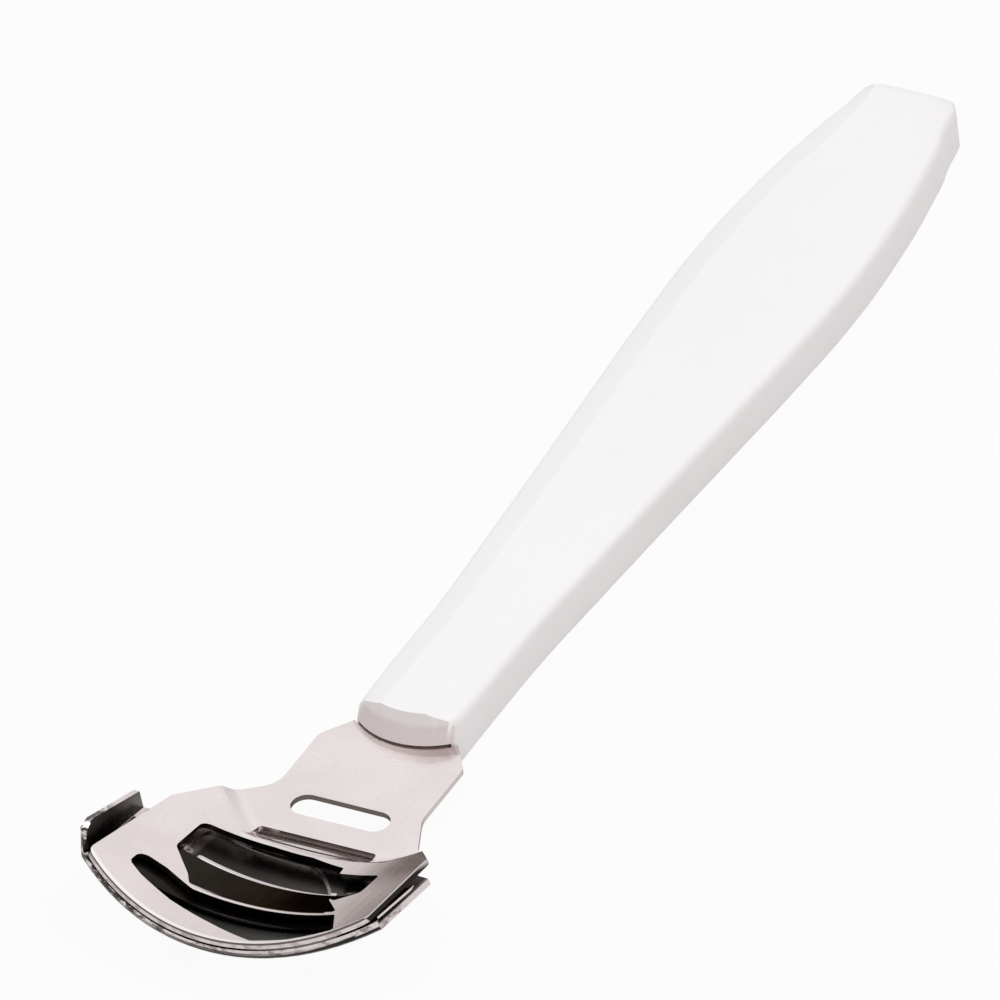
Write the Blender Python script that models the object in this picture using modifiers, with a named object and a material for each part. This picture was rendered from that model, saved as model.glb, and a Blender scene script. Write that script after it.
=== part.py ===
"""Callus shaver: a moulded paddle handle, two stamped steel plates and a blade that slides between them.

The tool lies along X with its head towards +X, the rest face of the handle down, and +Z up.
Flat patterns are drawn in plan and then laid on the head's surface, a flat neck that runs into a
shallow trough whose axis rises towards the front.
"""
import math

import bmesh
import bpy
from mathutils import Matrix, Vector

MM = 0.001

# Handle
handle_length = 147.2 * MM
handle_thickness = 7.8 * MM
handle_widest_width = 23.5 * MM
handle_waist_width = 14.7 * MM
handle_front_width = 14.9 * MM
handle_butt_width = 9.2 * MM
handle_front_bulge = 2.9 * MM
handle_front_lean = 2.0 * MM
handle_butt_reach = 3.2 * MM
handle_side_inset = 4.2 * MM
handle_side_drop = 1.28 * MM
handle_top_radius = 1.4 * MM
handle_bottom_radius = 0.8 * MM
handle_butt_inset = 2.0 * MM
handle_butt_inset_reach = 12.0 * MM
handle_top_taper = 1.3 * MM
handle_top_taper_reach = 16.0 * MM
handle_front_radius = 0.5 * MM

# Steel plates and how they fit
plate_thickness = 0.8 * MM
fit_gap = 0.3 * MM
neck_drop = 0.25 * MM
tang_length = 24.0 * MM
tang_width = 11.4 * MM
tang_root_length = 5.0 * MM
tang_root_width = 13.0 * MM
tang_corner_radius = 2.0 * MM

# Neck
neck_width = 21.2 * MM
neck_length = 12.9 * MM
neck_shoulder_radius = 1.6 * MM
neck_root_width = 15.2 * MM
neck_root_length = 4.4 * MM
neck_to_wing_radius = 4.0 * MM
flare_reach = 18.6 * MM
flare_side_reach = 13.0 * MM
other_flare_reach = 15.8 * MM
other_flare_side_reach = 14.6 * MM
flare_radius = 1.5 * MM
neck_slot_length = 14.2 * MM
neck_slot_width = 4.2 * MM
neck_slot_reach = 15.5 * MM

# Head: a trough of this radius, rising from the bend line to the front
trough_radius = 40.3 * MM
trough_rise_deg = 10.9
crease_turn_deg = 31.0
other_crease_turn_deg = 45.0
bend_reach = 22.8 * MM
bend_width = 2.5 * MM
wing_bend_width = 3.7 * MM
other_bend_lead = 1.8 * MM
head_reach = 51.0 * MM
head_front_radius = 36.2 * MM
head_side_inset = 0.16 * MM
head_back_width = 37.4 * MM
head_corner_radius = 2.0 * MM
wing_back_reach = 25.8 * MM
hook_slot_web = 1.45 * MM
hook_slot_width = 2.8 * MM
hook_slot_length = 17.2 * MM
hook_slot_radius = 0.5 * MM

# Window, press bar and front slot of the head plate
window_back_reach = 25.8 * MM
window_depth = 14.6 * MM
window_width = 27.2 * MM
window_corner_radius = 1.3 * MM
press_bar_width = 0.9 * MM
front_slot_depth = 8.4 * MM
front_slot_width = 32.6 * MM
front_slot_corner_radius = 1.3 * MM

# Guard plate
ear_gap = 0.55 * MM
open_side_margin = 1.05 * MM
open_side_taper = 0.7 * MM
fold_radius = 0.3 * MM
ear_back_height = 0.7 * MM
ear_front_height = 2.9 * MM
ear_back_lean = 0.9 * MM
ear_corner_drop = 1.1 * MM
guard_side_back_reach = 29.1 * MM
guard_straight_back_width = 28.0 * MM
hook_length = 15.6 * MM
hook_clearance = 0.4 * MM
stop_radius = 0.7 * MM
stop_height = 0.5 * MM
stop_side_reach = 13.7 * MM
stop_other_side_reach = 10.3 * MM

# Blade
blade_length = 42.8 * MM
blade_width = 9.9 * MM
blade_thickness = 0.3 * MM
blade_bevel_width = 1.1 * MM
blade_edge_thickness = 0.06 * MM
blade_edge_reach = 33.5 * MM
mouth_gap = 1.85 * MM
mouth_overlap = 0.7 * MM
mouth_width = 20.4 * MM
mouth_middle_y = -1.9 * MM
mouth_corner_radius = 0.8 * MM
recess_back_web = 0.9 * MM
recess_depth = 0.35 * MM
recess_corner_radius = 1.2 * MM

# Outline shares: along the handle from its front, and from the waist width to the widest width
handle_side_shares = [
    (0.11, 0.0), (0.18, 0.02), (0.28, 0.20), (0.39, 0.42), (0.51, 0.68), (0.62, 0.90),
    (0.72, 1.0), (0.82, 0.82), (0.90, 0.48), (0.95, 0.14),
]

# Outline shares: from the window's back edge over its depth, across half its width, and the corner radius
window_outline_shares = [
    (0.08, -1.0, 1.0), (0.0, -0.30, 1.0), (0.0, 0.12, 1.0), (0.10, 0.51, 0.3), (0.21, 0.53, 0.2),
    (0.24, 0.99, 0.6), (0.60, 1.0, 1.0), (0.755, 0.79, 0.3), (0.70, 0.70, 0.2), (1.0, 0.975, 0.3),
    (1.0, -0.62, 0.5), (0.87, -0.71, 1.0), (0.58, -1.0, 1.0),
]

# Outline shares: from the press bar over the front slot's depth, across half its width, and the corner
front_slot_outline_shares = [
    (-0.28, -0.98, 1.0), (-0.22, -0.74, 1.0), (0.0, -0.46, 1.0), (0.0, 0.83, 0.3), (0.62, 1.0, 0.4),
    (0.88, 0.64, 1.0), (1.0, 0.34, 0.6), (0.72, -0.10, 1.0), (0.49, -0.52, 1.0), (0.24, -0.84, 1.0),
    (0.08, -0.98, 0.8),
]

# Outline shares: from the recess's back edge over its depth, across half the window's width, and the corner
recess_outline_shares = [
    (0.0, -0.86, 1.2), (0.07, -0.94, 1.0), (0.30, -0.99, 1.4), (0.76, -0.95, 1.0), (1.0, -0.88, 0.3),
    (1.0, 0.63, 0.3), (0.87, 0.59, 1.0), (0.55, 0.46, 2.0), (0.30, 0.31, 2.0), (0.10, 0.17, 1.2),
    (0.0, 0.04, 1.2),
]

# Round stretches of the outlines and the mesh rows of the bent plates
arc_step_deg = 15.0
front_arc_steps = 22
plate_slices = 26
crease_slices = 6
guard_rows = 14
guard_columns = 26
turn_steps = 4

# Finest distance of the mesh work: welding, cutting and slopes
weld_distance = 0.002 * MM

# Places that follow from the sizes
handle_front_x = handle_length / 2
plate_top_z = handle_thickness / 2 - neck_drop
bend_x = handle_front_x + bend_reach
rise = math.radians(trough_rise_deg)
head_front_x = handle_front_x + head_reach
front_arc_centre_x = head_front_x - head_front_radius
window_back_x = handle_front_x + window_back_reach
window_front_x = window_back_x + window_depth
press_bar_front_x = window_front_x + press_bar_width
channel_depth = plate_thickness + fit_gap
blade_bottom_depth = channel_depth + blade_thickness
guard_depth = blade_bottom_depth + fit_gap
hook_slot_front_x = window_back_x - hook_slot_web
hook_slot_back_x = hook_slot_front_x - hook_slot_width
trough_axis_z = plate_top_z + trough_radius / math.cos(rise)
blade_radius = trough_radius + channel_depth
blade_edge_along = (blade_edge_reach - bend_reach - blade_radius * math.sin(rise)) / math.cos(rise)
blade_half_width = blade_radius * math.sin(blade_length / (2 * blade_radius))
head_width = 2 * (blade_half_width - head_side_inset)
ear_side_reach = blade_half_width + ear_gap
open_side_reach = blade_half_width + open_side_margin
cut_overrun = handle_thickness

steel_colour = (0.80, 0.78, 0.78, 1.0)
blade_colour = (0.25, 0.25, 0.26, 1.0)
handle_colour = (0.93, 0.92, 0.92, 1.0)


def new_collection(name):
    collection = bpy.data.collections.new(name)
    bpy.context.scene.collection.children.link(collection)
    return collection


def material(name, colour, metallic, roughness):
    mat = bpy.data.materials.new(name)
    mat.use_nodes = True
    shader = mat.node_tree.nodes["Principled BSDF"]
    shader.inputs["Base Color"].default_value = colour
    shader.inputs["Metallic"].default_value = metallic
    shader.inputs["Roughness"].default_value = roughness
    return mat


def rounded(corners):
    """Returns the outline through corners (x, y, radius), each corner turned on its own radius."""
    points = []
    count = len(corners)
    for index, (x, y, radius) in enumerate(corners):
        here = Vector((x, y))
        back = Vector(corners[index - 1][:2]) - here
        ahead = Vector(corners[(index + 1) % count][:2]) - here
        turn = math.pi - back.angle(ahead)
        if radius <= 0 or turn < math.radians(1):
            points.append((x, y))
            continue
        reach = min(radius * math.tan(turn / 2), back.length * 0.49, ahead.length * 0.49)
        radius = reach / math.tan(turn / 2)
        back.normalize()
        ahead.normalize()
        centre = here + (back + ahead).normalized() * (radius / math.cos(turn / 2))
        start = here + back * reach - centre
        end = here + ahead * reach - centre
        sweep = start.angle_signed(end)
        steps = max(2, math.ceil(abs(sweep) / math.radians(arc_step_deg)))
        for step in range(steps + 1):
            angle = math.atan2(start.y, start.x) - sweep * step / steps
            points.append((centre.x + radius * math.cos(angle), centre.y + radius * math.sin(angle)))
    return points


def from_shares(shares, start_x, depth, half_width, radius):
    """Places a table of outline shares in plan."""
    return rounded([(start_x + along * depth, across * half_width, turn * radius)
                    for along, across, turn in shares])


def front_edge_x(y, offset):
    """Place of the head's front edge at a distance from the middle, moved out by offset."""
    return front_arc_centre_x + math.sqrt((head_front_radius + offset) ** 2 - y ** 2)


def flat_solid(name, outlines, bottom, top):
    """Fills the outlines as a flat plate between two heights, with the inner outlines as holes."""
    curve = bpy.data.curves.new(name, "CURVE")
    curve.dimensions = "2D"
    curve.fill_mode = "BOTH"
    curve.extrude = (top - bottom) / 2
    for outline in outlines:
        spline = curve.splines.new("POLY")
        spline.points.add(len(outline) - 1)
        for point, (x, y) in zip(spline.points, outline):
            point.co = (x, y, 0, 1)
        spline.use_cyclic_u = True
    shape = bpy.data.objects.new(name, curve)
    shape.location.z = (top + bottom) / 2
    bpy.context.scene.collection.objects.link(shape)
    return curve_to_mesh(shape)


def curve_to_mesh(shape):
    """Turns a curve object into a welded mesh object of the same name."""
    name = shape.name
    bpy.context.view_layer.update()
    evaluated = shape.evaluated_get(bpy.context.evaluated_depsgraph_get())
    mesh = bpy.data.meshes.new_from_object(evaluated)
    place = shape.matrix_world.copy()
    curve = shape.data
    bpy.data.objects.remove(shape)
    bpy.data.curves.remove(curve)
    bm = bmesh.new()
    bm.from_mesh(mesh)
    bmesh.ops.transform(bm, matrix=place, verts=bm.verts)
    bmesh.ops.remove_doubles(bm, verts=bm.verts, dist=weld_distance)
    bmesh.ops.recalc_face_normals(bm, faces=bm.faces)
    bm.to_mesh(mesh)
    bm.free()
    mesh.name = name
    return bpy.data.objects.new(name, mesh)


def link(shape, collection, mat=None):
    collection.objects.link(shape)
    if mat:
        shape.data.materials.clear()
        shape.data.materials.append(mat)
    return shape


def cutter(shape):
    """Keeps a shape as a hidden cutting tool."""
    cutters.objects.link(shape)
    shape.hide_render = True
    shape.display_type = "WIRE"
    return shape


def boolean(shape, tool, operation):
    modifier = shape.modifiers.new(tool.name, "BOOLEAN")
    modifier.operation = operation
    modifier.object = tool
    modifier.solver = "EXACT"


def shade_smooth(shape, angle_deg):
    shape.data.shade_smooth()
    shape.data.set_sharp_from_angle(angle=math.radians(angle_deg))


def crease_shape(y):
    """Turn and side distance of the wing's crease on the side where y lies."""
    if y > 0:
        return math.radians(crease_turn_deg), hook_slot_length / 2
    return math.radians(other_crease_turn_deg), hook_slot_length / 2 - other_bend_lead


def head_height(x, y):
    """Height of the head plate's top: the flat neck, and past its creases the rising trough."""
    crease, crease_y = crease_shape(y)
    ahead = x - bend_x
    beside = ahead * math.cos(crease) + (abs(y) - crease_y) * math.sin(crease)
    share = min(max(ahead / bend_width, beside / wing_bend_width, 0), 1)
    share = share * share * (3 - 2 * share)
    climb = (trough_radius - math.sqrt(trough_radius ** 2 - y ** 2)) / math.cos(rise)
    return plate_top_z + share * (climb + math.tan(rise) * ahead)


def head_frame(x, y):
    """Point of the head's surface in plan, with its unit normal."""
    step = weld_distance
    slope_x = (head_height(x + step, y) - head_height(x - step, y)) / (2 * step)
    slope_y = (head_height(x, y + step) - head_height(x, y - step)) / (2 * step)
    return Vector((x, y, head_height(x, y))), Vector((-slope_x, -slope_y, 1)).normalized()


def lay_on_head(shape):
    """Bends a flat pattern on to the head's surface; its own z is the height over that surface."""
    for vertex in shape.data.vertices:
        point, normal = head_frame(vertex.co.x, vertex.co.y)
        vertex.co = point + normal * vertex.co.z
    shape.data.update()


def slice_for_bending(shape):
    """Cuts extra edges across a flat pattern where it will bend."""
    bm = bmesh.new()
    bm.from_mesh(shape.data)
    half = head_width / 2
    for index in range(1, plate_slices):
        y = -half + head_width * index / plate_slices
        geometry = bm.verts[:] + bm.edges[:] + bm.faces[:]
        bmesh.ops.bisect_plane(bm, geom=geometry, dist=weld_distance / 2, plane_co=(0, y, 0),
                               plane_no=(0, 1, 0))
    bend_slices = math.ceil(plate_slices / 4)
    start = bend_x - half * 0.35
    stretch = bend_width + half * 0.35
    for index in range(bend_slices + 1):
        x = start + stretch * index / bend_slices
        geometry = bm.verts[:] + bm.edges[:] + bm.faces[:]
        bmesh.ops.bisect_plane(bm, geom=geometry, dist=weld_distance / 2, plane_co=(x, 0, 0),
                               plane_no=(1, 0, 0))
    bm.to_mesh(shape.data)
    bm.free()


def slice_for_creases(shape):
    """Cuts extra edges along the head's creases, which run out from the hook slot's ends."""
    bm = bmesh.new()
    bm.from_mesh(shape.data)
    for side in (1, -1):
        crease, crease_y = crease_shape(side)
        normal = Vector((math.cos(crease), side * math.sin(crease), 0))
        for index in range(crease_slices + 1):
            place = Vector((bend_x, side * crease_y, 0)) + normal * (wing_bend_width * index / crease_slices)
            faces = [face for face in bm.faces if side * face.calc_center_median().y > 0]
            geometry = list({edge for face in faces for edge in face.edges})
            geometry = geometry + list({vertex for face in faces for vertex in face.verts}) + faces
            bmesh.ops.bisect_plane(bm, geom=geometry, dist=weld_distance / 2, plane_co=place,
                                   plane_no=normal)
    bmesh.ops.triangulate(bm, faces=bm.faces)
    bm.to_mesh(shape.data)
    bm.free()


def handle_outline():
    """The handle's plan outline as a ring of points, run on past the front face."""
    front_half = handle_front_width / 2
    waist = handle_waist_width / 2
    widest = handle_widest_width / 2
    butt_x = -handle_length / 2
    corner_x = handle_front_x - handle_front_bulge
    half = [(handle_front_x + cut_overrun, front_half, 0), (corner_x, front_half, 0)]
    for along, wide in handle_side_shares:
        half.append((handle_front_x - along * handle_length, waist + wide * (widest - waist), 0))
    half.append((butt_x, handle_butt_width / 2, handle_butt_reach))
    whole = half + [(x, -y, -reach) for x, y, reach in reversed(half)]
    curve = bpy.data.curves.new("handle_outline", "CURVE")
    curve.dimensions = "3D"
    curve.resolution_u = 5
    spline = curve.splines.new("BEZIER")
    spline.bezier_points.add(len(whole) - 1)
    for index, (x, y, reach) in enumerate(whole):
        point = spline.bezier_points[index]
        point.co = (x, y, 0)
        kind = "VECTOR" if x > handle_front_x else "AUTO"
        point.handle_left_type = "FREE" if reach else kind
        point.handle_right_type = "FREE" if reach else kind
        if reach:
            lift = Vector((0, abs(reach), 0))
            point.handle_left = point.co + lift
            point.handle_right = point.co - lift
    spline.use_cyclic_u = True
    shape = bpy.data.objects.new("handle_outline", curve)
    bpy.context.scene.collection.objects.link(shape)
    bpy.context.view_layer.update()
    mesh = bpy.data.meshes.new_from_object(shape.evaluated_get(bpy.context.evaluated_depsgraph_get()))
    ring = [vertex.co.copy() for vertex in mesh.vertices]
    bpy.data.meshes.remove(mesh)
    bpy.data.objects.remove(shape)
    bpy.data.curves.remove(curve)
    return ring


def handle_section():
    """Insets and heights of the handle's side: top flat, gentle slope, upright side and bottom flat."""
    return rounded([
        (handle_side_inset, handle_thickness, 0),
        (0, handle_thickness - handle_side_drop, handle_top_radius),
        (0, 0, handle_bottom_radius),
        (handle_side_inset, 0, 0),
    ])


def make_handle():
    """Paddle lofted through its outline and side section, with a convex front and the tang's slot."""
    ring = handle_outline()
    inward = []
    tapers = []
    for index, point in enumerate(ring):
        along = (ring[(index + 1) % len(ring)] - ring[index - 1]).normalized()
        if point.x > handle_front_x:
            along = Vector((-1 if point.y > 0 else 1, 0, 0))
        share = min(1, (point.x + handle_length / 2) / handle_butt_inset_reach)
        inset = handle_butt_inset + (handle_side_inset - handle_butt_inset) * share
        inward.append(Vector((-along.y, along.x, 0)) * inset)
        near_front = max(0, min(1, 1 - (handle_front_x - point.x) / handle_top_taper_reach))
        tapers.append(handle_top_taper * near_front ** 2 / inset)
    bm = bmesh.new()
    rows = []
    for inset, z in handle_section():
        share = inset / handle_side_inset
        raised = max(0, 2 * z / handle_thickness - 1)
        row = []
        for point, way, taper in zip(ring, inward, tapers):
            place = point + way * (share + taper * raised * (1 - share))
            row.append(bm.verts.new((place.x, place.y, z)))
        rows.append(row)
    for upper, lower in zip(rows, rows[1:]):
        add_strip(bm, upper + upper[:1], lower + lower[:1])
    bm.faces.new(rows[0])
    bm.faces.new(rows[-1])
    bmesh.ops.recalc_face_normals(bm, faces=bm.faces)
    mesh = bpy.data.meshes.new("handle")
    bm.to_mesh(mesh)
    bm.free()
    handle = link(bpy.data.objects.new("handle", mesh), parts,
                  material("handle_white_plastic", handle_colour, 0.0, 0.35))
    corner_x = handle_front_x - handle_front_bulge
    front = flat_solid("handle_front_cutter", [front_cut_outline(corner_x)], -cut_overrun,
                       handle_thickness + cut_overrun)
    lean_back(front, plate_top_z + fit_gap, handle_front_lean)
    boolean(handle, cutter(front), "DIFFERENCE")
    bevel = handle.modifiers.new("front_edge", "BEVEL")
    bevel.width = handle_front_radius
    bevel.segments = 3
    bevel.limit_method = "ANGLE"
    bevel.angle_limit = math.radians(55)
    tang_slot = flat_solid("tang_slot_cutter", [tang_outline(fit_gap, handle_front_x + cut_overrun)],
                           plate_top_z - plate_thickness - fit_gap, plate_top_z + fit_gap)
    boolean(handle, cutter(tang_slot), "DIFFERENCE")
    shade_smooth(handle, 16)


def lean_back(shape, start_z, lean):
    """Leans a shape back towards the butt above a height, by a distance at the handle's top."""
    bm = bmesh.new()
    bm.from_mesh(shape.data)
    geometry = bm.verts[:] + bm.edges[:] + bm.faces[:]
    bmesh.ops.bisect_plane(bm, geom=geometry, dist=weld_distance, plane_co=(0, 0, start_z),
                           plane_no=(0, 0, 1))
    for vertex in bm.verts:
        above = max(0, vertex.co.z - start_z)
        vertex.co.x = vertex.co.x - lean * above / (handle_thickness - start_z)
    bm.to_mesh(shape.data)
    bm.free()


def front_cut_outline(corner_x):
    """Everything in front of the handle's convex front face, in plan."""
    half = handle_front_width / 2
    radius = (half ** 2 + handle_front_bulge ** 2) / (2 * handle_front_bulge)
    centre_x = handle_front_x - radius
    wide = half + handle_front_bulge / 2
    reach = math.asin(wide / radius)
    front = []
    for step in range(front_arc_steps + 1):
        angle = reach * (2 * step / front_arc_steps - 1)
        front.append((centre_x + radius * math.cos(angle), radius * math.sin(angle)))
    far_x = handle_front_x + 2 * cut_overrun
    return front + [(far_x, wide), (far_x, -wide)]


def tang_outline(clearance, front_x):
    """Outline of the tang, or of its slot with a clearance, as far forward as front_x."""
    half = tang_width / 2 + clearance
    root_half = tang_root_width / 2 + clearance
    root_x = handle_front_x - tang_root_length - clearance
    back = handle_front_x - tang_length - clearance
    side = [(front_x, root_half, 0), (root_x, root_half, 0), (root_x, half, 0),
            (back, half, tang_corner_radius)]
    return rounded([(x, -y, radius) for x, y, radius in side] + list(reversed(side)))


def make_head_plate():
    """Tang, neck, wings and openings, stamped flat and then bent."""
    tang_half = tang_width / 2
    tang_root_half = tang_root_width / 2
    root_half = neck_root_width / 2
    root_drop = handle_front_bulge * (root_half / (handle_front_width / 2)) ** 2
    tang_drop = handle_front_bulge * (tang_root_half / (handle_front_width / 2)) ** 2
    shoulder_x = handle_front_x - handle_front_bulge + neck_root_length
    half = head_width / 2
    corners = [
        (handle_front_x - tang_length, tang_half, tang_corner_radius),
        (handle_front_x - tang_root_length, tang_half, 0),
        (handle_front_x - tang_root_length, tang_root_half, 0),
        (handle_front_x - tang_drop + fit_gap, tang_root_half, 0),
        (handle_front_x - root_drop + fit_gap, root_half, 0),
        (shoulder_x, neck_width / 2, neck_shoulder_radius),
        (handle_front_x + neck_length, neck_width / 2, neck_to_wing_radius),
    ]
    flare = (handle_front_x + flare_reach, flare_side_reach, flare_radius)
    other_flare = (handle_front_x + other_flare_reach, other_flare_side_reach, flare_radius)
    wing = [
        (handle_front_x + wing_back_reach, head_back_width / 2, head_corner_radius),
        (front_edge_x(half, 0), half, head_corner_radius),
    ]
    upper = []
    for step in range(1, front_arc_steps):
        y = (half - head_corner_radius) * (1 - step / front_arc_steps)
        upper.append((front_edge_x(y, 0), y, 0))
    tip = [(head_front_x, 0, 0)]
    lower = [(x, -y, radius) for x, y, radius in reversed(corners + [other_flare] + wing + upper)]
    outline = rounded(corners + [flare] + wing + upper + tip + lower)
    window = from_shares(window_outline_shares, window_back_x, window_depth, window_width / 2,
                         window_corner_radius)
    front_slot = from_shares(front_slot_outline_shares, press_bar_front_x, front_slot_depth,
                             front_slot_width / 2, front_slot_corner_radius)
    neck_slot = slot_outline(handle_front_x + neck_slot_reach, neck_slot_width, neck_slot_length,
                             neck_slot_width / 2)
    hook_slot = slot_outline((hook_slot_back_x + hook_slot_front_x) / 2, hook_slot_width, hook_slot_length,
                             hook_slot_radius)
    plate = flat_solid("head_plate", [outline, window, front_slot, neck_slot, hook_slot], -plate_thickness, 0)
    slice_for_bending(plate)
    slice_for_creases(plate)
    lay_on_head(plate)
    link(plate, parts, material("head_plate_steel", steel_colour, 1.0, 0.12))
    shade_smooth(plate, 30)


def slot_outline(middle_x, width, length, radius):
    """A straight slot across the plate with rounded corners."""
    x = width / 2
    y = length / 2
    return rounded([(middle_x - x, -y, radius), (middle_x + x, -y, radius), (middle_x + x, y, radius),
                    (middle_x - x, y, radius)])


def guard_point(x, y):
    """Point of the guard plate's upper face below a point of the head, with the normal there."""
    point, normal = head_frame(x, y)
    return point - normal * guard_depth, normal


def turn_up(bm, chain, outward, bend, heights):
    """Folds a flange up from a chain of edge vertices and returns its rows, the foot first."""
    rows = [chain]
    frames = []
    for vertex, direction in zip(chain, outward):
        point, normal = guard_point(*foot[vertex])
        level = Vector((direction[0], direction[1], 0))
        tangent = (level - normal * level.dot(normal)).normalized()
        frames.append((point, normal, tangent))
    for step in range(1, turn_steps + 2):
        angle = bend * min(step, turn_steps) / turn_steps
        row = []
        for (point, normal, tangent), height in zip(frames, heights):
            place = point + fold_radius * (normal + tangent * math.sin(angle) - normal * math.cos(angle))
            if step > turn_steps:
                place = place + (tangent * math.cos(angle) + normal * math.sin(angle)) * height
            row.append(bm.verts.new(place))
        rows.append(row)
        add_strip(bm, rows[-2], row)
    return rows


def add_strip(bm, one, other):
    """Joins two chains of vertices by faces, triangles where the chains share a vertex."""
    for index in range(len(one) - 1):
        corners = []
        for vertex in (one[index], one[index + 1], other[index + 1], other[index]):
            if vertex not in corners:
                corners.append(vertex)
        bm.faces.new(corners)


foot = {}


def guard_grid(bm, fold_x):
    """Lays the sole of the guard plate as columns of vertices from its back edge to the lip's fold."""
    shrink = trough_radius / (trough_radius + guard_depth)
    ear_y = (ear_side_reach - fold_radius / 2) * shrink
    hook_half = hook_length / 2
    straight_half = guard_straight_back_width / 2
    side_back_x = handle_front_x + guard_side_back_reach
    span = ear_y + open_side_reach * shrink
    places = [span * index / guard_columns - ear_y for index in range(guard_columns + 1)]
    for wanted in (-hook_half, hook_half):
        nearest = min(range(guard_columns), key=lambda index: abs(places[index] - wanted))
        places[nearest] = wanted
    grid = []
    for y in places:
        share = max(0, abs(y) - straight_half) / (ear_y - straight_half)
        back_x = fold_x + (side_back_x - fold_x) * min(share, 1)
        front_x = front_edge_x(y, -plate_thickness - fold_radius)
        taper = open_side_taper if y == places[-1] else 0
        column = []
        for row in range(guard_rows + 1):
            x = back_x + (front_x - back_x) * row / guard_rows
            inner_y = y - taper * (1 - row / guard_rows)
            vertex = bm.verts.new(guard_point(x, inner_y)[0])
            foot[vertex] = (x, inner_y)
            column.append(vertex)
        grid.append(column)
    for left, right in zip(grid, grid[1:]):
        add_strip(bm, left, right)
    return grid


def make_guard_plate():
    """The sole: one sheet below the head plate, with a front lip, a side ear and a hook at the back."""
    fold_x = hook_slot_front_x - hook_clearance + fold_radius
    bm = bmesh.new()
    grid = guard_grid(bm, fold_x)
    lip_chain = [column[-1] for column in grid]
    lip_out = []
    for vertex in lip_chain:
        x, y = foot[vertex]
        lip_out.append((x - front_arc_centre_x, y))
    lip_height = guard_depth - channel_depth - fold_radius
    quarter = math.pi / 2
    lip = turn_up(bm, lip_chain, lip_out, quarter, [lip_height] * len(lip_chain))
    ear_chain = grid[0]
    ear_heights = []
    for index in range(guard_rows + 1):
        height = ear_back_height + (ear_front_height - ear_back_height) * index / guard_rows
        ear_heights.append(height + guard_depth)
    ear_heights[-1] = ear_heights[-1] - ear_corner_drop
    ear_slope = math.asin(-foot[ear_chain[0]][1] / (trough_radius + guard_depth))
    ear = turn_up(bm, ear_chain, [(0, -1)] * len(ear_chain), quarter - ear_slope, ear_heights)
    ear[-1][0].co.x += ear_back_lean
    add_strip(bm, [row[-1] for row in ear], [row[0] for row in lip])
    hook_half = hook_length / 2 + weld_distance
    hook_chain = [column[0] for column in grid if abs(foot[column[0]][1]) < hook_half]
    count = len(hook_chain)
    turn_up(bm, hook_chain, [(-1, 0)] * count, quarter, [guard_depth - fold_radius] * count)
    bmesh.ops.recalc_face_normals(bm, faces=bm.faces)
    mesh = bpy.data.meshes.new("guard_plate")
    bm.to_mesh(mesh)
    bm.free()
    if mesh.polygons[0].normal.z < 0:
        mesh.flip_normals()
    guard = link(bpy.data.objects.new("guard_plate", mesh), parts,
                 material("guard_plate_steel", steel_colour, 1.0, 0.16))
    solidify = guard.modifiers.new("sheet", "SOLIDIFY")
    solidify.thickness = plate_thickness
    solidify.offset = -1
    solidify.use_even_offset = True
    guard.modifiers.new("flat_faces", "TRIANGULATE")
    recess_back_x = fold_x + recess_back_web
    recess_span = handle_front_x + blade_edge_reach + mouth_overlap - recess_back_x
    recess = from_shares(recess_outline_shares, recess_back_x, recess_span, window_width / 2,
                         recess_corner_radius)
    tool = flat_solid("recess_cutter", [recess], -guard_depth - recess_depth, -blade_bottom_depth)
    slice_for_bending(tool)
    lay_on_head(tool)
    boolean(guard, cutter(tool), "DIFFERENCE")
    tool = flat_solid("mouth_cutter", [mouth_outline()], plate_top_z - cut_overrun, plate_top_z + cut_overrun)
    boolean(guard, cutter(tool), "DIFFERENCE")
    boolean(guard, cutter(blade_stop("stop_left", -stop_side_reach)), "UNION")
    boolean(guard, cutter(blade_stop("stop_right", stop_other_side_reach)), "UNION")
    shade_smooth(guard, 30)


def mouth_outline():
    """The narrow mouth in plan, which follows the blade's edge along the trough."""
    half = mouth_width / 2
    back = []
    for step in range(front_arc_steps + 1):
        y = mouth_middle_y + half * (2 * step / front_arc_steps - 1)
        edge_x = trough_point(blade_edge_along, math.asin(y / blade_radius), blade_radius).x
        back.append((edge_x - mouth_gap, y, mouth_corner_radius if step in (0, front_arc_steps) else 0))
    front = [(x + mouth_gap + mouth_overlap, y, radius) for x, y, radius in reversed(back)]
    return rounded(back + front)


def blade_stop(name, y):
    """A small dimple on the sole, just behind the blade's edge."""
    bm = bmesh.new()
    bmesh.ops.create_uvsphere(bm, u_segments=16, v_segments=8, radius=stop_radius)
    bmesh.ops.scale(bm, vec=(1, 1, stop_height / stop_radius), verts=bm.verts)
    around = math.asin(y / (trough_radius + guard_depth))
    along = blade_edge_along - fit_gap - stop_radius
    point = trough_point(along, around, trough_radius + guard_depth)
    normal = trough_point(along, around, trough_radius) - point
    turn = Vector((0, 0, 1)).rotation_difference(normal).to_matrix().to_4x4()
    bmesh.ops.transform(bm, matrix=Matrix.Translation(point) @ turn, verts=bm.verts)
    mesh = bpy.data.meshes.new(name)
    bm.to_mesh(mesh)
    bm.free()
    return bpy.data.objects.new(name, mesh)


def trough_point(along, around, radius):
    """Point at an axial distance, an angle from the lowest line and a radius from the trough's axis."""
    down = -radius * math.cos(around)
    return Vector((
        bend_x + along * math.cos(rise) - down * math.sin(rise),
        radius * math.sin(around),
        trough_axis_z + along * math.sin(rise) + down * math.cos(rise),
    ))


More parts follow.
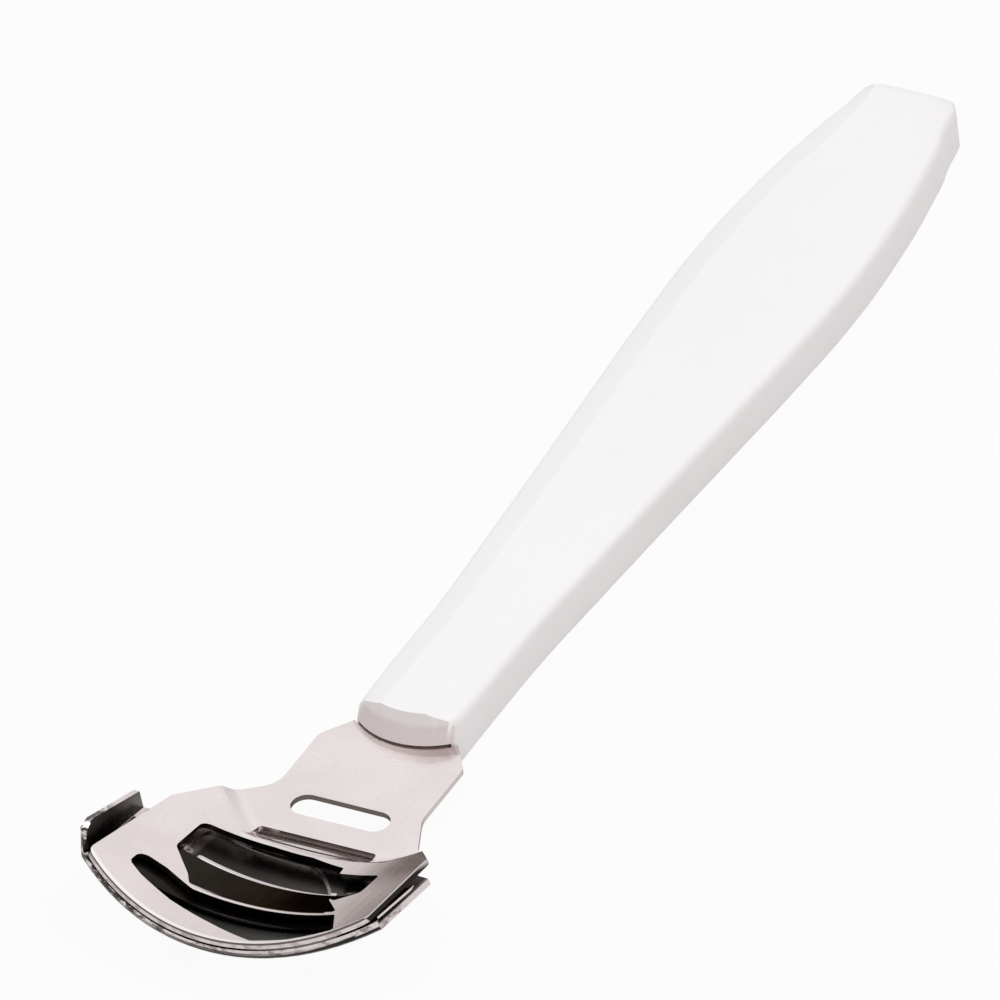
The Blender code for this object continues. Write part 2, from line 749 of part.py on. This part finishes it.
def make_blade():
    """A thin strip bent to the trough, its cutting edge ground from below and facing the handle."""
    profile = [
        (0, blade_edge_thickness),
        (blade_bevel_width, blade_thickness),
        (blade_width, blade_thickness),
    ]
    reach = blade_length / (2 * blade_radius)
    bm = bmesh.new()
    rows = []
    for index in range(plate_slices + 1):
        around = reach * (2 * index / plate_slices - 1)
        row = []
        for across, thick in profile:
            row.append(bm.verts.new(trough_point(blade_edge_along + across, around, blade_radius)))
        for across, thick in reversed(profile):
            row.append(bm.verts.new(trough_point(blade_edge_along + across, around, blade_radius + thick)))
        rows.append(row)
    count = len(rows[0])
    for here, there in zip(rows, rows[1:]):
        for index in range(count):
            after = (index + 1) % count
            bm.faces.new((here[index], here[after], there[after], there[index]))
    bm.faces.new(rows[0])
    bm.faces.new(rows[-1])
    bmesh.ops.recalc_face_normals(bm, faces=bm.faces)
    origin = Vector((bend_x, 0, trough_axis_z))
    bmesh.ops.translate(bm, verts=bm.verts, vec=-origin)
    mesh = bpy.data.meshes.new("blade")
    bm.to_mesh(mesh)
    bm.free()
    blade = link(bpy.data.objects.new("blade", mesh), parts, material("blade_steel", blade_colour, 1.0, 0.08))
    blade.location = origin
    shade_smooth(blade, 20)


for old in list(bpy.data.objects):
    bpy.data.objects.remove(old)
parts = new_collection("callus_shaver")
cutters = new_collection("cutters")
make_handle()
make_head_plate()
make_guard_plate()
make_blade()
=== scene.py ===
"""Looks of the callus shaver: satin steel head, dark spring-steel blade and a white moulded handle."""
import math

import bpy
from mathutils import Matrix, Vector


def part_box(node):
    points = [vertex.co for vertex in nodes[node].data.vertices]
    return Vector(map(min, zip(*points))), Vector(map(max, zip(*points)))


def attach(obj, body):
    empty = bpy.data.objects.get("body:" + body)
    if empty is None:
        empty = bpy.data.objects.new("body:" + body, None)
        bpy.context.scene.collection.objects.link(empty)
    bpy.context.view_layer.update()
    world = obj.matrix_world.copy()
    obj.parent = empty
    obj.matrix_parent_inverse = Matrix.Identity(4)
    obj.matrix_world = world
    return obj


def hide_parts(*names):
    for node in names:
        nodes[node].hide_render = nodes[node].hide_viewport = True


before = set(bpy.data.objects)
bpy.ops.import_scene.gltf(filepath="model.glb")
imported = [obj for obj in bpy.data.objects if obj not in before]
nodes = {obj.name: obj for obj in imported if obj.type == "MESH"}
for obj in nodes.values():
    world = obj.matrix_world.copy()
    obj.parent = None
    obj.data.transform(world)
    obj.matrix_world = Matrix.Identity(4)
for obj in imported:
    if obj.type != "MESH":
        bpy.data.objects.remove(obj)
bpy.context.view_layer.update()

MM = 0.001

# Places are counted from the middle of the handle's front and from the neck's top face
front_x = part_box("handle")[1][0]
neck_z = 3.65 * MM

# Handle: the arc of its front, the ridges of its top, and the painted shade of its front face
front_radius = 11.02 * MM
ridge_lowest_z = 5.6 * MM
ridge_bevel = 1.5 * MM
front_shade_x = front_x - 5.6 * MM
front_shade_top_z = 6.3 * MM

# Head: its bend, the creases of its open and closed side, its trough's curve, its front rim and open wing
bend_x = front_x + 22.8 * MM
rise = math.radians(10.9)
open_crease = math.radians(31.0)
open_crease_y = 8.6 * MM
closed_crease = math.radians(45.0)
closed_crease_reach = 6.7 * MM
trough_radius = 40.3 * MM
trough_axis_z = neck_z + 41.04 * MM
rim_radius = 36.2 * MM
rim_centre_x = front_x + 51.0 * MM - rim_radius
rim_back_x = bend_x + 14.0 * MM
wing_y = 12.0 * MM
wing_front_x = front_x + 31.9 * MM

# Head: its slots, its press bar and the openings over the blade
neck_slot_x = front_x + 15.5 * MM
neck_slot_half_width = 2.6 * MM
neck_slot_half_length = 7.5 * MM
hook_slot_x = front_x + 22.1 * MM
bar_x = front_x + 40.4 * MM
openings_back_x = front_x + 25.0 * MM
openings_half = 18.6 * MM

# Blade: its ground edge, on the handle's side, and its back
blade_edge_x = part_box("blade")[0][0]
blade_back_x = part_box("blade")[1][0]

# Guard: its hook, its lip, the recess that the blade lies in, its side edges and the two blade stops
hook_front_x = hook_slot_x + 2.15 * MM
lip_depth = 2.05 * MM
lip_end_y = 19.3 * MM
recess_x = front_x + 25.15 * MM
recess_span = 9.05 * MM
recess_half = 13.6 * MM
open_margin_y = 20.2 * MM
ear_y = 20.4 * MM
stop_x = blade_edge_x - 0.9 * MM
stops_y = (-13.7 * MM, 10.3 * MM)

# Hook tab: the strip of steel seen through the long slot
tab_size = (4.1 * MM, 19.0 * MM, 0.44 * MM)
tab_middle = (hook_slot_x + 0.45 * MM, 0, neck_z - 1.22 * MM)

# Studio: its white, its soft light, its floor and its lamps
pure_white = (1.0, 1.0, 1.0, 1.0)
soft_white = (1.0, 0.975, 0.975, 1.0)
soft_strength = 0.40
floor_tone = (0.66, 0.595, 0.60, 1.0)
floor_whiteness = 0.94
lamp_distance = 0.9
lamp_size = 0.7

# Tones of the handle
chalk_white = (0.940, 0.937, 0.936)
milk_white = (0.925, 0.920, 0.919)
handled_white = (0.88, 0.868, 0.862)
# Painted shade of the front face
front_shade_tone = (0.72, 0.62, 0.61)

# Tones of the head plate
satin_light = (0.835, 0.770, 0.770)
satin_shade = (0.775, 0.715, 0.705)
satin_grit = (0.70, 0.62, 0.60)
head_satin = (0.62, 0.55, 0.53)
# Painted shade of the open wing
wing_shade_tone = (0.245, 0.200, 0.190)
# Painted light of the closed crease
crease_light_tone = (0.93, 0.88, 0.88)
# Painted reflection of the handle in the neck
handle_reflection_tone = (0.42, 0.36, 0.35)
# Painted shade of the press bar
bar_shade_tone = (0.024, 0.020, 0.018)
# Painted highlight along the front rim
rim_highlight_tone = (0.93, 0.90, 0.89)
rim_wall_light = (0.66, 0.60, 0.595)
rim_wall_spot = (0.40, 0.35, 0.34)
# Painted shade along the top of the rim's wall
rim_wall_top_shade = (0.12, 0.10, 0.095)
light_wall = (0.68, 0.62, 0.615)
# Painted shade of the neck slot's, the openings' and the open wing's walls
neck_slot_shade = (0.13, 0.11, 0.10)
opening_shade_black = (0.018, 0.015, 0.013)
opening_shade_grey = (0.085, 0.072, 0.068)
wing_wall_shade = (0.035, 0.03, 0.028)

# Tones of the guard plate
guard_light = (0.72, 0.66, 0.655)
guard_shade = (0.60, 0.54, 0.53)
lip_light = (0.68, 0.62, 0.615)
lip_spot = (0.34, 0.295, 0.285)
lip_pit = (0.035, 0.03, 0.028)
# Painted shade under the lip
lip_underside_shade = (0.022, 0.018, 0.016)
# Painted shade inside the guard, lighter at the recess's closed end
inside_shade_black = (0.014, 0.012, 0.010)
inside_shade_brown = (0.028, 0.023, 0.020)
recess_end_shade = (0.13, 0.11, 0.10)
# Painted highlights of the recess's edge and the two blade stops
recess_edge_highlight = (0.50, 0.44, 0.43)
stop_highlight = (0.34, 0.30, 0.29)

# Tones of the blade
blade_black = (0.026, 0.0235, 0.0205)
blade_brown = (0.037, 0.033, 0.029)
rolled_line = (0.05, 0.043, 0.04)
ground_edge = (0.46, 0.41, 0.40)
blade_back = (0.45, 0.41, 0.40)
bare_end = (0.70, 0.64, 0.63)

# Tones of the hook tab
# Painted shade of the tab in its slot, lighter at its back and black towards the window
tab_shade_dark = (0.11, 0.09, 0.085)
tab_shade_mottle = (0.17, 0.145, 0.135)
tab_back_shade = (0.42, 0.37, 0.36)
tab_bare = (0.80, 0.75, 0.74)
tab_window_shade = (0.02, 0.017, 0.015)


class Socket:
    """An output of a node tree that adds Math nodes when it is used in an expression."""

    def __init__(self, tree, link):
        self.tree = tree
        self.link = link

    def math(self, operation, *values):
        return self.tree.node("ShaderNodeMath", {"operation": operation}, *values)[0]

    def __add__(self, other):
        return self.math("ADD", self, other)

    def __radd__(self, other):
        return self.math("ADD", other, self)

    def __sub__(self, other):
        return self.math("SUBTRACT", self, other)

    def __rsub__(self, other):
        return self.math("SUBTRACT", other, self)

    def __mul__(self, other):
        return self.math("MULTIPLY", self, other)

    def __rmul__(self, other):
        return self.math("MULTIPLY", other, self)

    def __truediv__(self, other):
        return self.math("DIVIDE", self, other)

    def __pow__(self, other):
        return self.math("POWER", self, other)

    def __neg__(self):
        return self.math("MULTIPLY", self, -1.0)

    def abs(self):
        return self.math("ABSOLUTE", self)

    def least(self, other):
        return self.math("MINIMUM", self, other)

    def most(self, other):
        return self.math("MAXIMUM", self, other)

    def over(self, edge, soft):
        """Rises from 0 to 1 as the value passes edge, over a soft width."""
        settings = {"interpolation_type": "SMOOTHSTEP"}
        return self.tree.node("ShaderNodeMapRange", settings, self, edge - soft / 2, edge + soft / 2)[0]

    def under(self, edge, soft):
        """Falls from 1 to 0 as the value passes edge, over a soft width."""
        return 1.0 - self.over(edge, soft)


class NodeTree:
    """Makes, feeds and joins the nodes of a tree."""

    def __init__(self, tree):
        self.nodes = tree.nodes
        self.links = tree.links

    def node(self, kind, settings, *values, **named):
        """Adds a node, sets it up, feeds its inputs in order or by name, and returns its outputs."""
        made = self.nodes.new(kind)
        for key, value in settings.items():
            setattr(made, key, value)
        places = [socket for socket in made.inputs if socket.enabled]
        for place, value in zip(places, values):
            self.feed(place, value)
        for key, value in named.items():
            self.feed(made.inputs[key], value)
        return [Socket(self, socket) for socket in made.outputs if socket.enabled]

    def feed(self, place, value):
        """Links an output to an input, or sets the input's value."""
        if isinstance(value, Socket):
            self.links.new(value.link, place)
        else:
            place.default_value = value

    def seen(self):
        """1 for what is seen straight, mirrored or through glass, and 0 for what only gives light."""
        path = self.node("ShaderNodeLightPath", {})
        camera, glossy, transmission = path[0], path[3], path[6]
        return camera.most(glossy).most(transmission)

    def show(self, output, share, one, other):
        """Blends two shaders by a share and shows them through the tree's output node."""
        blend = self.node("ShaderNodeMixShader", {}, share, one, other)[0]
        self.feed(self.nodes[output].inputs["Surface"], blend)


class Finish(NodeTree):
    """A material's node tree with its Principled shader."""

    def __init__(self, name):
        self.material = bpy.data.materials.new(name)
        self.material.use_nodes = True
        super().__init__(self.material.node_tree)
        self.shader = self.nodes["Principled BSDF"]

    def set(self, **values):
        """Sets shader sockets, given with underscores for spaces."""
        for key, value in values.items():
            self.feed(self.shader.inputs[key.replace("_", " ")], value)

    def position(self):
        """Object coordinates and their X, Y and Z."""
        place = self.node("ShaderNodeTexCoord", {})[3]
        return place, self.node("ShaderNodeSeparateXYZ", {}, place)

    def facing(self):
        """How far a face looks along the tool, across it and upwards, from -1 to 1."""
        normal = self.node("ShaderNodeTexCoord", {})[1]
        return self.node("ShaderNodeSeparateXYZ", {}, normal)

    def stretched(self, place, scale, turn=(0, 0, 0)):
        """A pattern's place, scaled and turned."""
        return self.node("ShaderNodeMapping", {}, place, (0, 0, 0), turn, scale)[0]

    def noise(self, place, scale, detail, rough=0.5):
        """A cloudy pattern from 0 to 1."""
        return self.node("ShaderNodeTexNoise", {}, Vector=place, Scale=scale, Detail=detail,
                         Roughness=rough)[0]

    def mix(self, share, one, other):
        """Blends two colours by a share."""
        colours = [colour if isinstance(colour, Socket) else (*colour, 1.0) for colour in (one, other)]
        return self.node("ShaderNodeMix", {"data_type": "RGBA"}, share, *colours)[0]

    def bump(self, height, distance):
        """A fine relief of the surface."""
        return self.node("ShaderNodeBump", {}, Height=height, Distance=distance, Strength=1.0)[0]


def distance_from(x, y, centre_x, centre_y=0.0):
    """How far a place lies from a centre, seen from above."""
    return ((x - centre_x) ** 2 + (y - centre_y) ** 2) ** 0.5


def depth_below_face(x, y, z):
    """How far a place lies below the head's top face, which rises from the bend and climbs to its sides."""
    climb = (trough_radius - (trough_radius ** 2 - y ** 2) ** 0.5) / math.cos(rise)
    return neck_z + (x - bend_x) * math.tan(rise) + climb - z


def white_plastic():
    """Satin moulded plastic: faint orange peel, a cloudy tone, light handling marks and painted shade on
    the front face.
    """
    finish = Finish("handle_white_plastic")
    place, (x, _, z) = finish.position()
    _, across, up = finish.facing()
    cloud = finish.noise(place, 45.0, 2.0)
    marks = finish.noise(finish.stretched(place, (1, 6, 6)), 260.0, 4.0)
    grain = finish.noise(place, 2600.0, 2.0)
    tone = finish.mix(cloud.over(0.55, 0.5), milk_white, chalk_white)
    tone = finish.mix(marks.over(0.68, 0.1) * 0.25, tone, handled_white)

    # Painted shade darkens the front face, less so along its top
    front_shade = x.over(front_shade_x, 3.0 * MM) * up.under(0.55, 0.25) * across.abs().under(0.72, 0.5)
    front_shade = front_shade * (1.0 - z.over(front_shade_top_z, 1.0 * MM) * 0.6)
    tone = finish.mix(front_shade * (0.60 + marks * 0.3), tone, front_shade_tone)
    finish.set(Base_Color=tone, Roughness=0.36 + marks * 0.10, Specular_IOR_Level=0.40,
               Coat_Weight=0.10, Coat_Roughness=0.25)
    finish.set(Normal=finish.bump(grain + cloud * 3.0, 0.010 * MM))
    return finish.material


def satin_steel():
    """The head plate: blasted satin steel with cut walls, painted shade on its walls, press bar and open
    wing, painted light on its closed crease, a painted reflection of the handle on its neck and a painted
    highlight along its front rim.
    """
    finish = Finish("head_plate_satin_steel")
    place, (x, y, z) = finish.position()
    up = finish.facing()[2]
    grain = finish.noise(place, 2400.0, 3.0, 0.6)
    cloud = finish.noise(place, 110.0, 3.0)
    scratch = finish.noise(finish.stretched(place, (2600, 170, 500), (0, 0, 0.5)), 1.0, 2.0)
    tone = finish.mix(cloud.over(0.5, 0.4), satin_shade, satin_light)
    tone = finish.mix(grain.over(0.62, 0.2) * 0.45, tone, satin_grit)
    head = x.over(bend_x + 8.0 * MM, 8.0 * MM)
    tone = finish.mix(head * 0.22, tone, head_satin)

    # Painted shade darkens the open side's wing past its crease, most towards the bend
    wing = y.over(wing_y, 9.0 * MM) * (1.0 - x.over(wing_front_x, 9.0 * MM) * 0.95)
    fold = (x - bend_x) * math.cos(open_crease) + (y - open_crease_y) * math.sin(open_crease)
    wing_shade = wing * fold.over(1.2 * MM, 1.2 * MM)
    mottle = finish.noise(finish.stretched(place, (1, 2, 1)), 420.0, 4.0, 0.6)
    tone = finish.mix((wing_shade * (0.55 + mottle * 0.45)).least(1.0), tone, wing_shade_tone)

    # Painted light brightens the closed side's crease
    crease_light = (x - bend_x) * math.cos(closed_crease) - y * math.sin(closed_crease) - closed_crease_reach
    crease_light = crease_light.abs().under(1.3 * MM, 1.4 * MM) * (-y).over(8.0 * MM, 1.0 * MM)
    tone = finish.mix(crease_light * 0.6, tone, crease_light_tone)

    # A painted reflection of the handle's convex front darkens the neck along it, more widely towards the
    # open side
    handle_reflection = distance_from(x, y, front_x - front_radius) - y * 0.10
    tone = finish.mix(handle_reflection.under(front_radius + 1.30 * MM, 0.5 * MM) * 0.5, tone, handle_reflection_tone)

    # Painted shade darkens the press bar's back half, which leaves a thin bright line along its front
    bar_shade = x.over(bar_x - 0.05 * MM, 0.1 * MM) * x.under(bar_x + 0.34 * MM, 0.16 * MM)
    bar_shade = bar_shade * y.under(11.6 * MM, 0.3 * MM) * y.over(-6.0 * MM, 5.0 * MM)
    tone = finish.mix(bar_shade, tone, bar_shade_tone)

    # A painted highlight runs along the front rim, and the rim's wall below it is spotted, with painted
    # shade along its top
    reach = distance_from(x, y, rim_centre_x)
    front = x.over(rim_back_x, 2.0 * MM)
    tone = finish.mix(reach.over(rim_radius - 0.62 * MM, 0.25 * MM) * front, tone, rim_highlight_tone)
    spots = finish.noise(finish.stretched(place, (1, 1, 1.6)), 620.0, 3.0, 0.6)
    rim_wall = finish.mix(spots.over(0.52, 0.3), rim_wall_light, rim_wall_spot)
    depth = depth_below_face(x, y, z)
    rim_wall = finish.mix(depth.under(0.30 * MM, 0.14 * MM), rim_wall, rim_wall_top_shade)

    # Painted shade darkens the openings' walls, less so at the closed side, greys the neck slot's walls and
    # darkens the open wing's wall low down
    neck_slot = (x - neck_slot_x).abs().under(neck_slot_half_width, 0.3 * MM)
    neck_slot = neck_slot * y.abs().under(neck_slot_half_length, 0.3 * MM)
    walls = finish.mix(neck_slot, light_wall, neck_slot_shade)
    opening = x.over(openings_back_x, 0.3 * MM) * y.abs().under(openings_half, 0.6 * MM)
    walls = finish.mix(opening, walls, opening_shade_black)
    walls = finish.mix((-y).over(8.5 * MM, 2.0 * MM) * opening, walls, opening_shade_grey)
    wing_wall = y.over(19.0 * MM, 0.4 * MM) * depth.over(0.20 * MM, 0.12 * MM)
    walls = finish.mix(wing_wall, walls, wing_wall_shade)
    walls = finish.mix(reach.over(rim_radius - 0.3 * MM, 0.2 * MM) * front, walls, rim_wall)
    tone = finish.mix(up.abs().under(0.62, 0.12), tone, walls)
    finish.set(Base_Color=tone, Metallic=1.0, Specular_Tint=(0.45, 0.41, 0.40, 1.0),
               Roughness=0.11 + head * 0.10 + cloud * 0.04 + grain * 0.05 + wing_shade * 0.12)
    finish.set(Normal=finish.bump(grain + scratch.over(0.72, 0.08), 0.005 * MM))
    return finish.material


def guard_steel():
    """The guard plate: painted shade near black inside, grey and spotted on its lip with painted shade
    along its lower edge, bright along its open side, with painted highlights on the recess's edge and blade
    stops.
    """
    finish = Finish("guard_plate_steel")
    place, (x, y, z) = finish.position()
    _, across, up = finish.facing()
    cloud = finish.noise(place, 90.0, 3.0)
    lines = finish.noise(finish.stretched(place, (30, 900, 900)), 1.0, 3.0)
    bright = finish.mix(cloud.over(0.5, 0.5), guard_light, guard_shade)

    # The lip is spotted, more so towards the closed side, and painted shade darkens its lower edge
    spots = finish.noise(finish.stretched(place, (1, 1, 2.0)), 620.0, 4.0, 0.65)
    lip = x.over(rim_back_x, 4.0 * MM)
    closed = (-y).over(8.0 * MM, 12.0 * MM)
    lip_tone = finish.mix(spots.over(0.55, 0.2), lip_light, lip_spot)
    pits = (spots + closed * 0.16).over(0.60, 0.10) * (0.25 + closed * 0.7)
    tone = finish.mix(lip, bright, finish.mix(pits, lip_tone, lip_pit))
    down = -up
    low = (depth_below_face(x, y, z) + y * 0.012).over(lip_depth, 0.25 * MM)
    low = low * y.over(-8.0 * MM, 8.0 * MM) * y.under(lip_end_y, 0.5 * MM)
    lip_shade = down.over(-0.04, 0.2).most(low) * down.under(0.88, 0.08) * lip
    tone = finish.mix(lip_shade, tone, lip_underside_shade)

    # Faces that look towards the axis of the head's curve are the guard's inside, but for its folded hook;
    # painted shade makes them near black, a lighter grey towards the recess's closed end
    towards = (up * (trough_axis_z - z) - across * y) / trough_radius
    ear_top = (-y).over(ear_y, 0.2 * MM) * up.over(0.75, 0.2)
    inside = towards.over(0.45, 0.2) * y.under(open_margin_y, 0.3 * MM) * (1.0 - ear_top)
    inside = inside * x.over(hook_front_x, 0.2 * MM)
    inside_shade = finish.mix(cloud.over(0.5, 0.6), inside_shade_black, inside_shade_brown)
    recess_end = (-y).over(12.6 * MM, 0.8 * MM) * (-y).under(15.5 * MM, 1.0 * MM)
    tone = finish.mix(inside, tone, finish.mix(recess_end * 0.8, inside_shade, recess_end_shade))

    # A painted highlight follows the recess's edge on the open side, and the two blade stops carry painted
    # highlights too
    share = ((x - recess_x) / recess_span).most(0.0)
    edge = (y - recess_half * (0.04 + 0.60 * share ** 0.65)).abs()
    recess_highlight = edge.under(0.22 * MM, 0.16 * MM) * inside * x.under(recess_x + recess_span, 0.2 * MM)
    tone = finish.mix(recess_highlight * x.over(recess_x + 0.4 * MM, 0.4 * MM) * 0.75, tone, recess_edge_highlight)
    for stop_y in stops_y:
        stop_glint = distance_from(x, y, stop_x, stop_y).under(0.75 * MM, 0.2 * MM)
        tone = finish.mix(stop_glint * inside, tone, stop_highlight)
    finish.set(Base_Color=tone, Metallic=1.0, Roughness=0.18 + cloud * 0.06 + lines * 0.06 + spots * 0.08)
    finish.set(Normal=finish.bump(lines + spots * 0.6, 0.005 * MM))
    return finish.material


def dark_steel():
    """Near-black spring steel with rolling lines along the strip, a ground edge and bare ends."""
    finish = Finish("blade_dark_steel")
    place, (x, y, _) = finish.position()
    across = finish.facing()[1]
    cloud = finish.noise(place, 120.0, 3.0)
    lines = finish.noise(finish.stretched(place, (1500, 60, 60)), 1.0, 3.0)
    nicks = finish.noise(place, 420.0, 2.0)
    tone = finish.mix(cloud.over(0.5, 0.6), blade_black, blade_brown)
    tone = finish.mix(lines.over(0.66, 0.08) * 0.35, tone, rolled_line)
    edge = x.under(blade_edge_x + 0.27 * MM, 0.12 * MM)
    tone = finish.mix(edge * (0.40 + nicks.over(0.45, 0.3) * 0.45), tone, ground_edge)
    tone = finish.mix(x.over(blade_back_x - 0.16 * MM, 0.08 * MM) * 0.45, tone, blade_back)
    end = across.abs().over(0.75, 0.1) * y.abs().over(19.0 * MM, 0.5 * MM)
    tone = finish.mix(end, tone, bare_end)
    finish.set(Base_Color=tone, Metallic=1.0, Specular_Tint=(0.31, 0.29, 0.28, 1.0),
               Roughness=0.16 + lines * 0.14)
    finish.set(Normal=finish.bump(lines, 0.003 * MM))
    return finish.material


def tab_steel():
    """Steel of the hook with painted shade where it sits in its slot, lighter at its back, bare at one end
    and black towards the window.
    """
    finish = Finish("hook_tab_steel")
    place, (x, y, _) = finish.position()
    mottle = finish.noise(finish.stretched(place, (1, 0.3, 1)), 700.0, 3.0)
    tone = finish.mix(mottle.over(0.5, 0.5), tab_shade_dark, tab_shade_mottle)
    tone = finish.mix(x.under(hook_slot_x - 0.5 * MM, 1.4 * MM), tone, tab_back_shade)
    end = (-y).over(6.3 * MM, 0.3 * MM) * x.over(hook_slot_x + 0.1 * MM, 0.3 * MM)
    tone = finish.mix(end, tone, tab_bare)
    tone = finish.mix(x.over(hook_slot_x + 1.75 * MM, 0.2 * MM), tone, tab_window_shade)
    finish.set(Base_Color=tone, Metallic=1.0, Roughness=0.22 + mottle * 0.12)
    finish.set(Normal=finish.bump(mottle, 0.005 * MM))
    return finish.material


def dress(name, material):
    """Gives a CAD node its finish."""
    for slot in nodes[name].material_slots:
        slot.material = material


def finished(piece, material):
    """Gives a new piece its finish and fixes it to the shaver."""
    piece.data.materials.clear()
    piece.data.materials.append(material)
    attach(piece, "shaver")


def select_none():
    for other in bpy.context.selected_objects:
        other.select_set(False)


def copy_of_node(name, title):
    """A copy of a CAD node with its loose triangles merged, selected and active."""
    select_none()
    piece = nodes[name].copy()
    piece.data = nodes[name].data.copy()
    piece.name = title
    bpy.context.scene.collection.objects.link(piece)
    piece.hide_render = False
    piece.select_set(True)
    bpy.context.view_layer.objects.active = piece
    bpy.ops.object.mode_set(mode="EDIT")
    bpy.ops.mesh.select_all(action="SELECT")
    bpy.ops.mesh.remove_doubles(threshold=0.001 * MM)
    bpy.ops.mesh.tris_convert_to_quads(face_threshold=math.radians(8), shape_threshold=math.radians(60))
    bpy.ops.mesh.select_all(action="DESELECT")
    bpy.ops.object.mode_set(mode="OBJECT")
    return piece


def select_edges(piece, wanted):
    """Selects the edges that a test on their two ends and their two faces' normals accepts."""
    mesh = piece.data
    normals = {}
    for face in mesh.polygons:
        for key in face.edge_keys:
            normals.setdefault(key, []).append(face.normal.copy())
    for edge in mesh.edges:
        ends = [mesh.vertices[index].co for index in edge.vertices]
        sides = normals.get(edge.key, [])
        edge.select = len(sides) == 2 and wanted(ends, sides)


def on_top_ridge(ends, sides):
    """Whether an edge runs along the handle between its top face and a side slope."""
    lengthwise = abs((ends[1] - ends[0]).normalized().x) > 0.8
    high = min(end.z for end in ends) > ridge_lowest_z
    upwards = min(side.z for side in sides) > 0.8
    gentle = math.radians(8) < sides[0].angle(sides[1]) < math.radians(40)
    return lengthwise and high and upwards and gentle


def soften_handle():
    """The handle as it leaves its mould: the ridges of its top blend softly into the side slopes."""
    piece = copy_of_node("handle", "handle_moulding")
    bpy.context.tool_settings.mesh_select_mode = (False, True, False)
    select_edges(piece, on_top_ridge)
    bpy.ops.object.mode_set(mode="EDIT")
    bpy.ops.mesh.bevel(offset=ridge_bevel, segments=4, profile=0.5, clamp_overlap=True)
    bpy.ops.object.mode_set(mode="OBJECT")
    bpy.ops.object.shade_smooth_by_angle(angle=math.radians(25))
    return piece


def hook_tab():
    """The guard's folded hook, seen inside the slot that it is caught in."""
    select_none()
    bpy.ops.mesh.primitive_cube_add(size=1.0, location=tab_middle, scale=tab_size)
    piece = bpy.context.active_object
    piece.name = "guard_hook_tab"
    bpy.ops.object.transform_apply(location=True, rotation=True, scale=True)
    bpy.ops.object.mode_set(mode="EDIT")
    bpy.ops.mesh.select_all(action="SELECT")
    bpy.ops.mesh.bevel(offset=0.12 * MM, segments=3)
    bpy.ops.object.mode_set(mode="OBJECT")
    bpy.ops.object.shade_smooth_by_angle(angle=math.radians(30))
    return piece


def direction(azimuth, elevation):
    """The way towards a viewer at these angles in degrees, given as for the views."""
    turn = math.radians(azimuth)
    climb = math.radians(elevation)
    return Vector((math.sin(turn) * math.cos(climb), -math.cos(turn) * math.cos(climb), math.sin(climb)))


def lay_floor():
    """A plain pale floor, white to the camera and in reflections, that keeps the tool's shadow."""
    bpy.ops.mesh.primitive_plane_add(size=6.0, location=(0, 0, -0.02 * MM))
    floor = bpy.context.active_object
    floor.name = "floor"
    finish = Finish("floor_white")
    finish.set(Base_Color=floor_tone, Roughness=0.9, Specular_IOR_Level=0.0)
    shadowed = Socket(finish, finish.shader.outputs[0])
    white = finish.node("ShaderNodeEmission", {}, Color=pure_white, Strength=1.0)[0]
    finish.show("Material Output", finish.seen() * floor_whiteness, shadowed, white)
    floor.data.materials.append(finish.material)


def soft_lamp(name, azimuth, elevation, watts):
    """An area lamp that looks at the tool's middle from a direction."""
    way = direction(azimuth, elevation)
    data = bpy.data.lights.new(name, "AREA")
    data.shape = "DISK"
    data.size = lamp_size
    data.energy = watts
    lamp = bpy.data.objects.new(name, data)
    lamp.location = Vector((front_x / 2, 0, 0)) + way * lamp_distance
    lamp.rotation_euler = way.to_track_quat("Z", "Y").to_euler()
    bpy.context.scene.collection.objects.link(lamp)


def light_the_studio():
    """Two soft lamps in a softly lit world that is white to the camera and in reflections."""
    world = bpy.data.worlds.new("studio")
    world.use_nodes = True
    tree = NodeTree(world.node_tree)
    background = tree.nodes["Background"]
    tree.feed(background.inputs["Color"], soft_white)
    tree.feed(background.inputs["Strength"], soft_strength)
    soft = Socket(tree, background.outputs[0])
    white = tree.node("ShaderNodeBackground", {}, Color=pure_white, Strength=1.0)[0]
    tree.show("World Output", tree.seen(), soft, white)
    bpy.context.scene.world = world
    soft_lamp("key", azimuth=180.0, elevation=58.0, watts=3.75)
    soft_lamp("fill", azimuth=0.0, elevation=62.0, watts=2.4)


def place_camera():
    """The photograph's viewing direction, tilt and scale."""
    azimuth = 121.81
    roll = math.radians(-6.59)
    away = 5.0
    pixels_per_metre = 7670.5
    picture_width = 1000
    sensor_width = 36.0
    middle = Vector((front_x - 51.358 * MM, -11.938 * MM, neck_z))
    way = direction(azimuth, elevation=36.77)
    level = Vector((math.cos(math.radians(azimuth)), math.sin(math.radians(azimuth)), 0))
    upright = way.cross(level)
    right = math.cos(roll) * level + math.sin(roll) * upright
    up = math.cos(roll) * upright - math.sin(roll) * level
    data = bpy.data.cameras.new("camera")
    data.sensor_width = sensor_width
    data.lens = sensor_width * away * pixels_per_metre / picture_width
    data.clip_end = 20.0
    camera = bpy.data.objects.new("camera", data)
    turn = Matrix((right, up, way)).transposed().to_4x4()
    camera.matrix_world = Matrix.Translation(middle + way * away) @ turn
    bpy.context.scene.collection.objects.link(camera)
    bpy.context.scene.camera = camera


place_camera()
lay_floor()
light_the_studio()
handle = soften_handle()
finished(handle, white_plastic())
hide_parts("handle")
finished(hook_tab(), tab_steel())
dress("head_plate", satin_steel())
dress("guard_plate", guard_steel())
dress("blade", dark_steel())

bpy.context.scene.view_settings.view_transform = "Standard"
